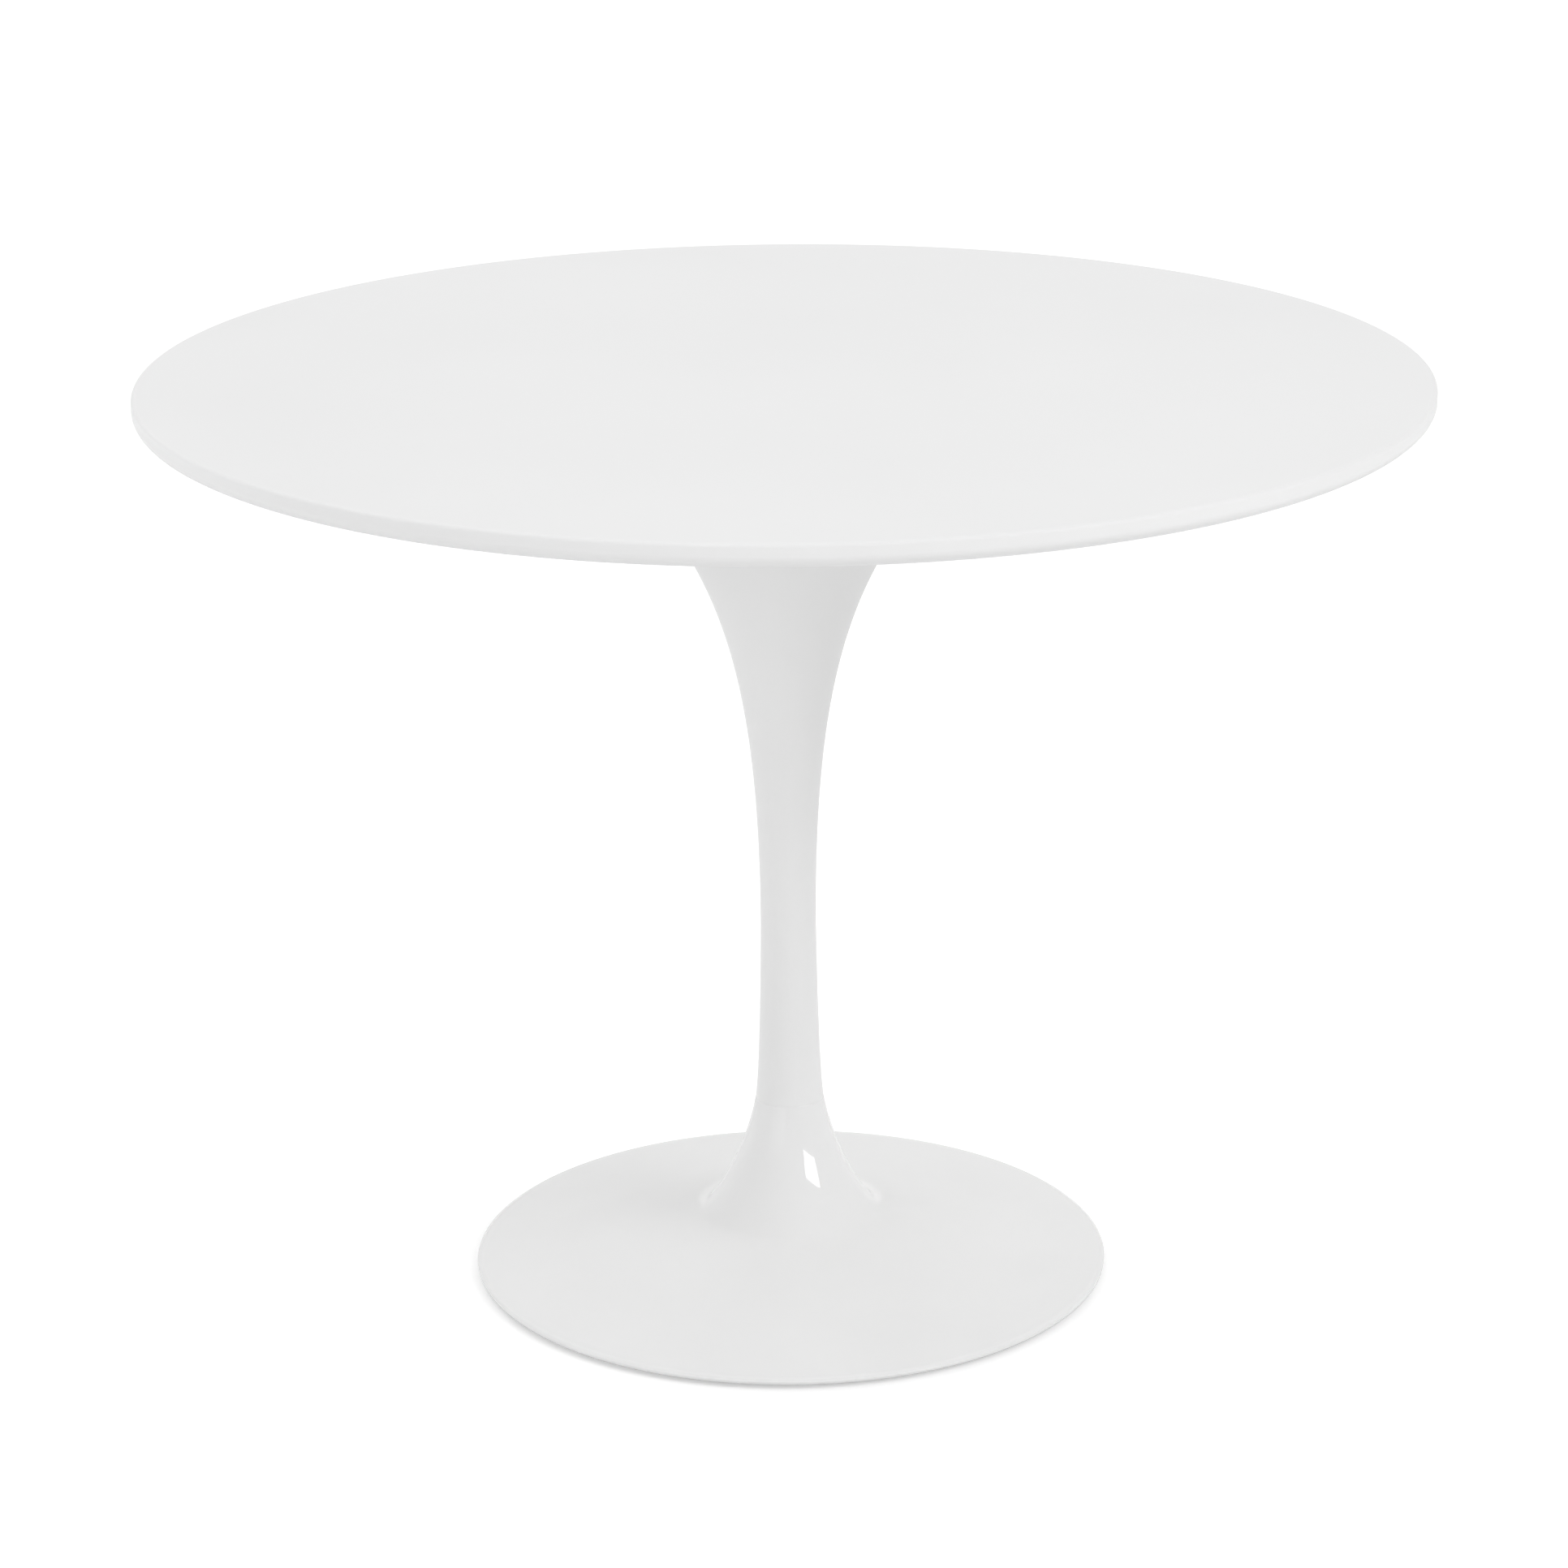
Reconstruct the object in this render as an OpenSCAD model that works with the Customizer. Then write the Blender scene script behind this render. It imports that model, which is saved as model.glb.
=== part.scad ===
// Round pedestal dining table.
// A lacquered round top sits on a trumpet-shaped column, and the column stands on a cast foot.
// One long rod inside the column pulls the foot, the column and the plate under the top together.
// Five screw-in glides under the foot level the table.
// The origin is on the floor, on the table's own axis. +Z points up. Every size is in millimetres.

/* [Top] */
// Height of the table's surface above the floor, glides screwed right in
table_h = 738; // [720:1:760]
// Diameter of the round top
top_d = 1000; // [900:10:1100]
// Thickness of the top
top_t = 20; // [20:1:26]
// Radius of the small round on the top's upper edge
top_edge_r = 3; // [1:0.5:5]
// How far the rounded under-edge runs in from the side
under_edge_w = 19; // [10:1:30]
// How far the rounded under-edge rises up the side
under_edge_h = 11.5; // [8:0.5:12]

/* [Column] */
// Height of the joint between column and foot
seam_z = 142; // [138:1:150]
// Radius of column and foot at that joint
seam_r = 27.4; // [27:0.1:30]
// Radius of the column at its waist
waist_r = 22.1; // [22:0.1:24]
// Height of the waist
waist_z = 292; // [270:1:310]
// Radius of the column's flared head
head_r = 180; // [175:1:190]
// Thickness of the column's wall
column_wall = 4; // [3:0.5:4]

/* [Foot] */
// Diameter of the foot
foot_d = 511; // [480:1:540]
// Gap between the foot's rim and the floor
rim_gap = 3; // [2:0.5:4]
// Height of the foot's rim, from its underside to where the disc starts
rim_h = 6; // [5:0.5:7]
// Thickness of the foot's casting
foot_wall = 6; // [5:0.5:6.5]
// Number of ribs, and of glides
ribs = 5; // [5:1:5]
// Thickness of each rib
rib_t = 5; // [4:0.5:8]

/* [Glides] */
// Distance of the glides from the table's axis
glide_ring_r = 200; // [190:1:205]
// Diameter of a glide's pad
pad_d = 24; // [20:1:28]
// Diameter of a glide's threaded stud
stud_d = 8; // [6:1:8]

/* [Fixings] */
// Diameter of the tie rod
rod_d = 14; // [12:1:16]
// Diameter of the plate under the top
plate_d = 320; // [300:1:320]
// Thickness of that plate
plate_t = 6; // [5:0.5:6]
// Number of screws that hold the plate to the top
screws = 8; // [6:1:12]
// Diameter of the circle that those screws stand on
screw_ring_d = 250; // [220:1:260]
// Diameter of those screws
screw_d = 6; // [5:1:6]

/* [Hidden] */
$fn = 96;

lacquer_white = [0.93, 0.93, 0.92];
satin_white = [0.9, 0.9, 0.89];
black_coat = [0.12, 0.12, 0.13];
zinc = [0.72, 0.73, 0.74];
brass = [0.78, 0.62, 0.32];
nylon_grey = [0.55, 0.55, 0.55];

// Clearance that stands for a thread or a push fit, on the radius
fit_gap = 0.05;
// Chamfer on the ends of rods and studs
end_chamfer = 1;

// Heights of the faces that stack up under the top
underside_z = table_h - top_t;
plate_z = underside_z - plate_t;
washer_t = 1.6;
washer_z = plate_z - washer_t;
screw_head_h = 4;
screw_len = 16;
insert_len = 13;
insert_r = 5;

// The hub welded under the plate, and its gussets
hub_r = 20;
hub_h = 30;
hub_z = plate_z - hub_h;
gusset_t = 5;
gusset_reach = 90;
gusset_drop = 28;
gussets = 4;

// The column's head: a thickened lip with a seat that the plate's rim presses on
head_gap = 0.4;
head_z = underside_z - head_gap;
seat_bore_r = plate_d / 2 - 10;
plate_play = 1;

// The foot's neck stands up inside the column as a spigot
spigot_r = 21.4;
spigot_h = 22;
spigot_bore_r = 15;
socket_play = 0.1;
socket_depth = spigot_h + 4;
neck_bore_h = 14;

// The web across the neck that the tie rod's nut pulls on
web_z = 64;
web_t = 8;
rod_hole_r = rod_d / 2 + 0.5;
rod_top_z = plate_z - 6;
rod_bottom_z = 40;

// The nut and washers under the web
tie_washer_r = 22;
tie_washer_t = 3;
spring_washer_r = 12;
spring_washer_t = 3.5;
spring_washer_slit = 2;
nut_across_flats = 22;
nut_h = 12.8;

// The foot's ribs and glide bosses
foot_r = foot_d / 2;
disc_z = rim_gap + rim_h;
rib_z = rim_gap + 1;
rib_start_r = 42;
rib_end_r = foot_r - 9.5;
boss_r = 11;
boss_gap = 0.3;
boss_top_z = rim_gap + 9.5;
stud_hole_top_z = rim_gap + 9.2;

// The glides: a pad as thick as the gap under the rim, moulded round the stud's flange
pad_r = pad_d / 2;
stud_flange_r = 7;
stud_flange_t = 1.4;
stud_top_z = rim_gap + 8.6;
first_glide_angle = -90;

// A cubic curve through p[0] and p[3], with p[1] and p[2] as its handles
function curve(p, steps) = [
    for (i = [0 : steps])
        let (t = i / steps, u = 1 - t)
        u * u * u * p[0] + 3 * u * u * t * p[1] + 3 * u * t * t * p[2] + t * t * t * p[3]
];

// A quarter or part of an ellipse, from one angle to another
function arc(centre, rx, rz, from, to, steps) = [
    for (i = [0 : steps])
        let (a = from + (to - from) * i / steps)
        centre + [rx * cos(a), rz * sin(a)]
];

// The path without its first point, for joining to the path before it
function tail(path) = [for (i = [1 : len(path) - 1]) path[i]];

function backwards(path) = [for (i = [len(path) - 1 : -1 : 0]) path[i]];

// The path moved to its left by a wall's thickness
function inset(path, wall) = [
    for (i = [0 : len(path) - 1])
        let (a = path[max(i - 1, 0)], b = path[min(i + 1, len(path) - 1)], d = b - a)
        path[i] + wall / norm(d) * [-d[1], d[0]]
];

// Outlines are [radius, height] points, from low to high.
// Each lean is the direction of the outline at a point, so that the curves on both sides of it meet smoothly.
seam = [seam_r, seam_z];
seam_lean = [-1, 6];
waist = [waist_r, waist_z];
head = [head_r, head_z];
head_lean = [114, 102];
column_outline = concat(
    curve([seam, seam + 3.7 * seam_lean, waist - [0, 12], waist], 12),
    tail(curve([waist, waist + [0, 246], head - head_lean, head], 28))
);

flare = [70, 46];
flare_lean = [-1, 1];
shoulder = [foot_r - 5.5, disc_z];
foot_outline = concat(
    curve([shoulder, [140, 25], flare - 16 * flare_lean, flare], 16),
    tail(curve([flare, flare + 10 * flare_lean, seam - 7.5 * seam_lean, seam], 14))
);
rim_outline = concat(
    [[foot_r - 8.5, rim_gap], [foot_r - 3, rim_gap]],
    arc([foot_r - 3, rim_gap + 3], 3, 3, -75, 15, 5),
    arc([foot_r - 5.3, rim_gap + 3.2], 4.7, 2.78, 20, 80, 4)
);

module ring(outer, inner, h) {
    difference() {
        cylinder(r = outer, h = h);
        translate([0, 0, -1]) cylinder(r = inner, h = h + 2);
    }
}

// A round bar whose two ends are chamfered
module bar(r, h) {
    rotate_extrude()
        polygon([
            [0, 0], [r - end_chamfer, 0], [r, end_chamfer],
            [r, h - end_chamfer], [r - end_chamfer, h], [0, h]
        ]);
}

module at_screws() {
    for (i = [0 : screws - 1])
        rotate(360 * (i + 0.5) / screws) translate([screw_ring_d / 2, 0, 0]) children();
}

module at_glide(number) {
    rotate(first_glide_angle + 360 * (number - 1) / ribs) translate([glide_ring_r, 0, 0]) children();
}

module tabletop() {
    top_r = top_d / 2;
    color(lacquer_white) difference() {
        rotate_extrude($fn = 180)
            polygon(concat(
                [[0, underside_z]],
                arc([top_r - under_edge_w, underside_z + under_edge_h], under_edge_w, under_edge_h, -90, 0, 9),
                arc([top_r - top_edge_r, table_h - top_edge_r], top_edge_r, top_edge_r, 0, 90, 6),
                [[0, table_h]]
            ));
        at_screws() translate([0, 0, underside_z - 1]) cylinder(r = insert_r + fit_gap, h = insert_len + 1.5, $fn = 32);
    }
}

module threaded_inserts() {
    color(brass) at_screws() translate([0, 0, underside_z])
        ring(insert_r, screw_d / 2 + fit_gap, insert_len, $fn = 32);
}

module mounting_plate() {
    color(black_coat) difference() {
        translate([0, 0, plate_z]) cylinder(r = plate_d / 2, h = plate_t);
        at_screws() translate([0, 0, plate_z - 1]) cylinder(r = screw_d / 2 + 0.4, h = plate_t + 2, $fn = 32);
    }
}

module plate_screws() {
    color(zinc) at_screws() {
        translate([0, 0, washer_z - screw_head_h]) cylinder(r = screw_d * 0.96, h = screw_head_h, $fn = 6);
        translate([0, 0, washer_z]) cylinder(r = screw_d / 2, h = screw_len, $fn = 32);
    }
}

module plate_washers() {
    color(zinc) at_screws() translate([0, 0, washer_z])
        ring(screw_d + 0.2, screw_d / 2 + 0.2, washer_t, $fn = 48);
}

module threaded_hub() {
    color(black_coat) translate([0, 0, hub_z]) ring(hub_r, rod_d / 2 + fit_gap, hub_h);
}

module gusset(number) {
    color(black_coat) rotate(360 * (number - 1) / gussets) difference() {
        translate([0, gusset_t / 2, 0]) rotate([90, 0, 0]) linear_extrude(gusset_t)
            polygon([
                [hub_r - 2, plate_z], [gusset_reach, plate_z], [gusset_reach, plate_z - 5],
                [hub_r + 5, plate_z - gusset_drop], [hub_r - 2, plate_z - gusset_drop]
            ]);
        translate([0, 0, hub_z]) cylinder(r = hub_r + fit_gap, h = hub_h + 1);
    }
}

module column() {
    socket_r = spigot_r + socket_play;
    socket_z = seam_z + socket_depth;
    inner = [for (p = inset(column_outline, column_wall)) if (p[1] > socket_z && p[0] < seat_bore_r) p];
    plate_recess_r = plate_d / 2 + plate_play;
    color(satin_white) rotate_extrude($fn = 144)
        polygon(concat(
            [[socket_r, seam_z]],
            column_outline,
            [
                [plate_recess_r, head_z], [plate_recess_r, plate_z],
                [seat_bore_r, plate_z], [seat_bore_r, inner[len(inner) - 1][1]]
            ],
            backwards(inner),
            [[inner[0][0], socket_z], [socket_r, socket_z]]
        ));
}

module tie_rod() {
    color(zinc) translate([0, 0, rod_bottom_z]) bar(rod_d / 2, rod_top_z - rod_bottom_z);
}

module tie_washer() {
    color(zinc) translate([0, 0, web_z - tie_washer_t]) ring(tie_washer_r, rod_hole_r, tie_washer_t);
}

module spring_washer() {
    color(zinc) translate([0, 0, web_z - tie_washer_t - spring_washer_t]) difference() {
        ring(spring_washer_r, rod_d / 2 + 0.3, spring_washer_t);
        translate([0, -spring_washer_slit / 2, -1]) cube([spring_washer_r + 1, spring_washer_slit, spring_washer_t + 2]);
    }
}

module tie_nut() {
    nut_r = nut_across_flats / 2 / cos(30);
    color(zinc) translate([0, 0, web_z - tie_washer_t - spring_washer_t - nut_h]) difference() {
        cylinder(r = nut_r, h = nut_h, $fn = 6);
        translate([0, 0, -1]) cylinder(r = rod_d / 2 + fit_gap, h = nut_h + 2);
    }
}

module foot() {
    inner = inset(foot_outline, foot_wall);
    below_web = [for (p = inner) if (p[1] < web_z && p[0] < foot_r - 11) p];
    above_web = [for (p = inner) if (p[1] > web_z + web_t && p[1] < seam_z - neck_bore_h) p];
    web_r = (below_web[len(below_web) - 1][0] + above_web[0][0]) / 2;
    spigot_top = seam_z + spigot_h;
    color(lacquer_white) difference() {
        union() {
            rotate_extrude($fn = 144)
                polygon(concat(
                    rim_outline,
                    foot_outline,
                    [
                        [spigot_r, seam_z], [spigot_r, spigot_top - end_chamfer],
                        [spigot_r - end_chamfer, spigot_top], [spigot_bore_r, spigot_top],
                        [spigot_bore_r, seam_z - neck_bore_h]
                    ],
                    backwards(above_web),
                    [
                        [web_r, web_z + web_t], [rod_hole_r, web_z + web_t],
                        [rod_hole_r, web_z], [web_r, web_z]
                    ],
                    backwards(below_web)
                ));
            for (i = [1 : ribs]) {
                rib(i);
                at_glide(i) translate([0, 0, rim_gap + boss_gap])
                    cylinder(r = boss_r, h = boss_top_z - rim_gap - boss_gap, $fn = 48);
            }
        }
        for (i = [1 : ribs])
            at_glide(i) cylinder(r = stud_d / 2 + fit_gap, h = stud_hole_top_z, $fn = 32);
    }
}

// A radial rib under the foot's disc, reaching up into the middle of its wall
module rib(number) {
    middle = inset(foot_outline, foot_wall / 2);
    inside = [for (p = middle) if (p[1] < web_z + web_t / 2) p];
    crown = inside[len(inside) - 1];
    intersection() {
        rotate_extrude($fn = 144)
            polygon(concat([[0, rib_z], [inside[0][0], rib_z]], inside, [[0, crown[1]]]));
        rotate(first_glide_angle + 360 * (number - 1) / ribs)
            translate([rib_start_r, -rib_t / 2, 0]) cube([rib_end_r - rib_start_r, rib_t, web_z + 1]);
    }
}

module glide_stud(number) {
    color(zinc) at_glide(number) {
        translate([0, 0, rim_gap - stud_flange_t]) cylinder(r = stud_flange_r, h = stud_flange_t, $fn = 48);
        translate([0, 0, rim_gap - stud_flange_t]) bar(stud_d / 2, stud_top_z - rim_gap + stud_flange_t, $fn = 32);
    }
}

module glide_pad(number) {
    color(nylon_grey) at_glide(number) rotate_extrude($fn = 48)
        polygon([
            [0, 0], [pad_r - 0.6, 0], [pad_r, 0.6], [pad_r, rim_gap - 0.6], [pad_r - 0.6, rim_gap],
            [stud_flange_r + fit_gap, rim_gap], [stud_flange_r + fit_gap, rim_gap - stud_flange_t],
            [0, rim_gap - stud_flange_t]
        ]);
}

tabletop();
threaded_inserts();
mounting_plate();
plate_screws();
plate_washers();
threaded_hub();
gusset(1);  // gusset_1
gusset(2);  // gusset_2
gusset(3);  // gusset_3
gusset(4);  // gusset_4
column();
tie_rod();
tie_washer();
spring_washer();
tie_nut();
foot();
glide_stud(1);  // glide_stud_1
glide_stud(2);  // glide_stud_2
glide_stud(3);  // glide_stud_3
glide_stud(4);  // glide_stud_4
glide_stud(5);  // glide_stud_5
glide_pad(1);  // glide_pad_1
glide_pad(2);  // glide_pad_2
glide_pad(3);  // glide_pad_3
glide_pad(4);  // glide_pad_4
glide_pad(5);  // glide_pad_5
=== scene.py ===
import math

import bmesh
import bpy
from mathutils import Matrix, Vector
from mathutils.geometry import interpolate_bezier


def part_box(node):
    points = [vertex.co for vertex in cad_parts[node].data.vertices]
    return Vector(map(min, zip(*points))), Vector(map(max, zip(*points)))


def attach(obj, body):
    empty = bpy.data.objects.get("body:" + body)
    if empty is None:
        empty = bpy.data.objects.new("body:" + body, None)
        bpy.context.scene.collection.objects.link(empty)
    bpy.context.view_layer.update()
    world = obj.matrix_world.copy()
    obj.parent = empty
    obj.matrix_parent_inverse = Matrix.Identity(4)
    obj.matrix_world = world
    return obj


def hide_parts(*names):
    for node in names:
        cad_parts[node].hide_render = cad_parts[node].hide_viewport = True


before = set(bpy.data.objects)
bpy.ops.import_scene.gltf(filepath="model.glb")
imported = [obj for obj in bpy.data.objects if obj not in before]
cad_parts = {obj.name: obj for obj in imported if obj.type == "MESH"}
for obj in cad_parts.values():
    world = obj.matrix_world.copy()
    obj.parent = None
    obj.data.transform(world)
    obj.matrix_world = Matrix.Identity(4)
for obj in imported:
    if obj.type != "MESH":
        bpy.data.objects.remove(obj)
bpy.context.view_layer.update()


# ----------------------------------------------------------------------------------------------------------
# Tabletop: a round board of dense fibre. Its upper edge is eased, and its under-edge is cut back in a long
# round that makes it look thinner than it is. It is sealed, sanded and sprayed with satin white lacquer, in
# full coats on top and round the edge and in one thin coat underneath.

mm = 0.001
top_low, top_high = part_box("tabletop")
top_r = top_high.x
upper_edge_r = 3 * mm
under_edge_w, under_edge_h = 19 * mm, 11.5 * mm
screw_ring_r = 125 * mm
screw_count = 8
insert_hole_r, insert_hole_h = 5.05 * mm, 13.5 * mm


def point(radius, height):
    """A point of an outline, in the plane that is turned about the table's axis."""
    return Vector((radius, 0, height))


def arc(centre, width, height, first, last, steps):
    """The points of part of an ellipse. The angles are in degrees."""
    angles = [math.radians(first + (last - first) * i / steps) for i in range(steps + 1)]
    return [centre + Vector((width * math.cos(a), 0, height * math.sin(a))) for a in angles]


def turned(outline, turns=240):
    """A bmesh of the outline turned about the table's axis. The outline starts and ends on the axis, or
    it encloses the cut face of a ring."""
    shape = bmesh.new()
    corners = [shape.verts.new(p) for p in outline]
    pairs = list(zip(corners, corners[1:]))
    if outline[0].x > 0:
        pairs.append((corners[-1], corners[0]))
    lines = [shape.edges.new(pair) for pair in pairs]
    bmesh.ops.spin(
        shape, geom=corners + lines, cent=(0, 0, 0), axis=(0, 0, 1), angle=math.tau, steps=turns,
        use_merge=True,
    )
    bmesh.ops.remove_doubles(shape, verts=shape.verts, dist=0.001 * mm)
    bmesh.ops.recalc_face_normals(shape, faces=shape.faces)
    return shape


def cylinder(radius, low, high, turns=32):
    """A bmesh of a plain cylinder on the table's axis, for cutting holes."""
    return turned([point(0, low), point(radius, low), point(radius, high), point(0, high)], turns)


def ring_of(count, radius, first=0):
    """The places of things that stand evenly on a circle and face outwards. first is in degrees."""
    turns = [Matrix.Rotation(math.radians(first + 360 * i / count), 4, "Z") for i in range(count)]
    return [turn @ Matrix.Translation((radius, 0, 0)) for turn in turns]


def repeated(shape, places):
    """One bmesh with a copy of the given one at each place. The given one is used up."""
    mesh = bpy.data.meshes.new("copied")
    shape.to_mesh(mesh)
    shape.free()
    group = bmesh.new()
    for place in places:
        copy = mesh.copy()
        copy.transform(place)
        group.from_mesh(copy)
        bpy.data.meshes.remove(copy)
    bpy.data.meshes.remove(mesh)
    return group


def combined(shape, other, operation):
    """The first bmesh joined with, cut by or kept inside the second. Both are used up."""
    pair = []
    for part in (shape, other):
        mesh = bpy.data.meshes.new("combined")
        part.to_mesh(mesh)
        part.free()
        pair.append(bpy.data.objects.new("combined", mesh))
        bpy.context.scene.collection.objects.link(pair[-1])
    work = pair[0].modifiers.new("work", "BOOLEAN")
    work.operation, work.solver, work.object = operation, "MANIFOLD", pair[1]
    result = bmesh.new()
    result.from_object(pair[0], bpy.context.evaluated_depsgraph_get())
    for used in pair:
        mesh = used.data
        bpy.data.objects.remove(used)
        bpy.data.meshes.remove(mesh)
    return result


def finished(shape, name, body, nodes, materials, sharp=35):
    """Makes the bmesh a piece of the table that stands for CAD nodes and rides on their body."""
    mesh = bpy.data.meshes.new(name)
    shape.to_mesh(mesh)
    shape.free()
    mesh.shade_smooth()
    mesh.set_sharp_from_angle(angle=math.radians(sharp))
    piece = bpy.data.objects.new(name, mesh)
    bpy.context.scene.collection.objects.link(piece)
    for material in materials:
        mesh.materials.append(material)
    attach(piece, body)
    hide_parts(*nodes)
    return piece


def add_node(tree, kind, inputs=(), **settings):
    """A shader node with its settings and inputs. An input is a plain value, or the output that feeds it."""
    made = tree.nodes.new(kind)
    for name, value in settings.items():
        setattr(made, name, value)
    for name, value in dict(inputs).items():
        if isinstance(value, bpy.types.NodeSocket):
            tree.links.new(value, made.inputs[name])
        else:
            made.inputs[name].default_value = value
    return made


def new_group(name, inputs, outputs):
    """A shader node group with named inputs, each with its usual value, and named outputs."""
    tree = bpy.data.node_groups.new(name, "ShaderNodeTree")
    for label, value in inputs.items():
        socket = tree.interface.new_socket(label, in_out="INPUT", socket_type="NodeSocketFloat")
        socket.default_value = value
    for label, kind in outputs.items():
        tree.interface.new_socket(label, in_out="OUTPUT", socket_type="NodeSocket" + kind)
    return tree, tree.nodes.new("NodeGroupInput").outputs, tree.nodes.new("NodeGroupOutput").inputs


def new_material(name, **plain):
    """A material with a Principled shader. The plain values are the same all over the surface."""
    material = bpy.data.materials.new(name)
    material.use_nodes = True
    shader = material.node_tree.nodes["Principled BSDF"]
    for label, value in plain.items():
        shader.inputs[label.replace("_", " ")].default_value = value
    return material, material.node_tree, shader


def sprayed_skin():
    """The skin of a sprayed coat: the gentle waves of orange peel, fine dust caught in the last coat, and
    clouds of slightly different gloss."""
    tree, given, out = new_group(
        "sprayed_skin",
        {"Peel Scale": 180, "Peel Strength": 0.1, "Nib Strength": 0.1, "Cloud Scale": 4,
         "Roughness Low": 0.3, "Roughness High": 0.4},
        {"Cloud": "Float", "Roughness": "Float", "Normal": "Vector"},
    )
    place = add_node(tree, "ShaderNodeTexCoord").outputs["Object"]
    peel = add_node(tree, "ShaderNodeTexNoise", {"Vector": place, "Scale": given["Peel Scale"], "Detail": 3})
    nibs = add_node(tree, "ShaderNodeTexNoise", {"Vector": place, "Scale": 900, "Detail": 2})
    specks = add_node(
        tree, "ShaderNodeMapRange", {"Value": nibs.outputs["Fac"], "From Min": 0.68, "From Max": 0.8}
    )
    cloud = add_node(
        tree, "ShaderNodeTexNoise", {"Vector": place, "Scale": given["Cloud Scale"], "Detail": 5}
    )
    spread = add_node(tree, "ShaderNodeMapRange", {
        "Value": cloud.outputs["Fac"], "From Min": 0.3, "From Max": 0.7,
        "To Min": given["Roughness Low"], "To Max": given["Roughness High"]})
    waves = add_node(tree, "ShaderNodeBump", {
        "Height": peel.outputs["Fac"], "Strength": given["Peel Strength"], "Distance": 0.4 * mm})
    bump = add_node(tree, "ShaderNodeBump", {
        "Height": specks.outputs["Result"], "Strength": given["Nib Strength"], "Distance": 0.1 * mm,
        "Normal": waves.outputs["Normal"]})
    tree.links.new(cloud.outputs["Fac"], out["Cloud"])
    tree.links.new(spread.outputs["Result"], out["Roughness"])
    tree.links.new(bump.outputs["Normal"], out["Normal"])
    return tree


skin_group = sprayed_skin()


def sprayed_coat(name, skin, dark, light, **plain):
    """A sprayed coat: a skin with its own values, and a colour that drifts a little between two shades."""
    material, tree, shader = new_material(name, **plain)
    coat = add_node(tree, "ShaderNodeGroup", node_tree=skin_group)
    for label, value in skin.items():
        coat.inputs[label].default_value = value
    shade = add_node(
        tree, "ShaderNodeMapRange", {"Value": coat.outputs["Cloud"], "From Min": 0.35, "From Max": 0.65}
    )
    colour = add_node(tree, "ShaderNodeMix", {"Factor": shade.outputs["Result"]}, data_type="RGBA")
    colour.inputs["A"].default_value, colour.inputs["B"].default_value = (*dark, 1), (*light, 1)
    tree.links.new(colour.outputs["Result"], shader.inputs["Base Color"])
    tree.links.new(coat.outputs["Roughness"], shader.inputs["Roughness"])
    tree.links.new(coat.outputs["Normal"], shader.inputs["Normal"])
    return material


satin_lacquer = sprayed_coat(
    "satin_lacquer",
    {"Peel Scale": 160, "Peel Strength": 0.05, "Nib Strength": 0.12, "Cloud Scale": 3,
     "Roughness Low": 0.27, "Roughness High": 0.36},
    (0.78, 0.78, 0.78), (0.795, 0.795, 0.795), IOR=1.48,
)
thin_lacquer = sprayed_coat(
    "thin_lacquer",
    {"Peel Scale": 520, "Peel Strength": 0.35, "Nib Strength": 0.6, "Cloud Scale": 9,
     "Roughness Low": 0.45, "Roughness High": 0.62},
    (0.74, 0.74, 0.73), (0.78, 0.78, 0.772), IOR=1.48,
)

under_round = point(top_r - under_edge_w, top_low.z + under_edge_h)
upper_round = point(top_r - upper_edge_r, top_high.z - upper_edge_r)
# A ring of points just inside each round keeps the rounds' shading off the flats.
under_margin, upper_margin = 2 * mm, 1 * mm
board = turned(
    [point(0, top_low.z), point(under_round.x - under_margin, top_low.z)]
    + arc(under_round, under_edge_w, under_edge_h, -90, 0, 32)
    + arc(upper_round, upper_edge_r, upper_edge_r, 0, 90, 12)
    + [point(upper_round.x - upper_margin, top_high.z), point(0, top_high.z)],
    360,
)
hole = cylinder(insert_hole_r, top_low.z - 1 * mm, top_low.z + insert_hole_h)
half_step = 180 / screw_count
screw_places = ring_of(screw_count, screw_ring_r, first=half_step)
board = combined(board, repeated(hole, screw_places), "DIFFERENCE")
for face in board.faces:
    face.material_index = int(face.calc_center_median().z < top_low.z + 0.05 * mm)
finished(board, "lacquered_top", "table", ["tabletop"], [satin_lacquer, thin_lacquer])


# ----------------------------------------------------------------------------------------------------------
# Inserts: eight brass bushes, knurled outside and tapped inside. They are pressed and glued into the holes in
# the board's underside, and the plate's screws bite in them.

insert_low, insert_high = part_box("threaded_inserts")
insert_r, insert_bore_r = 5 * mm, 3.05 * mm
knurl_depth, knurl_teeth = 0.25 * mm, 28


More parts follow.
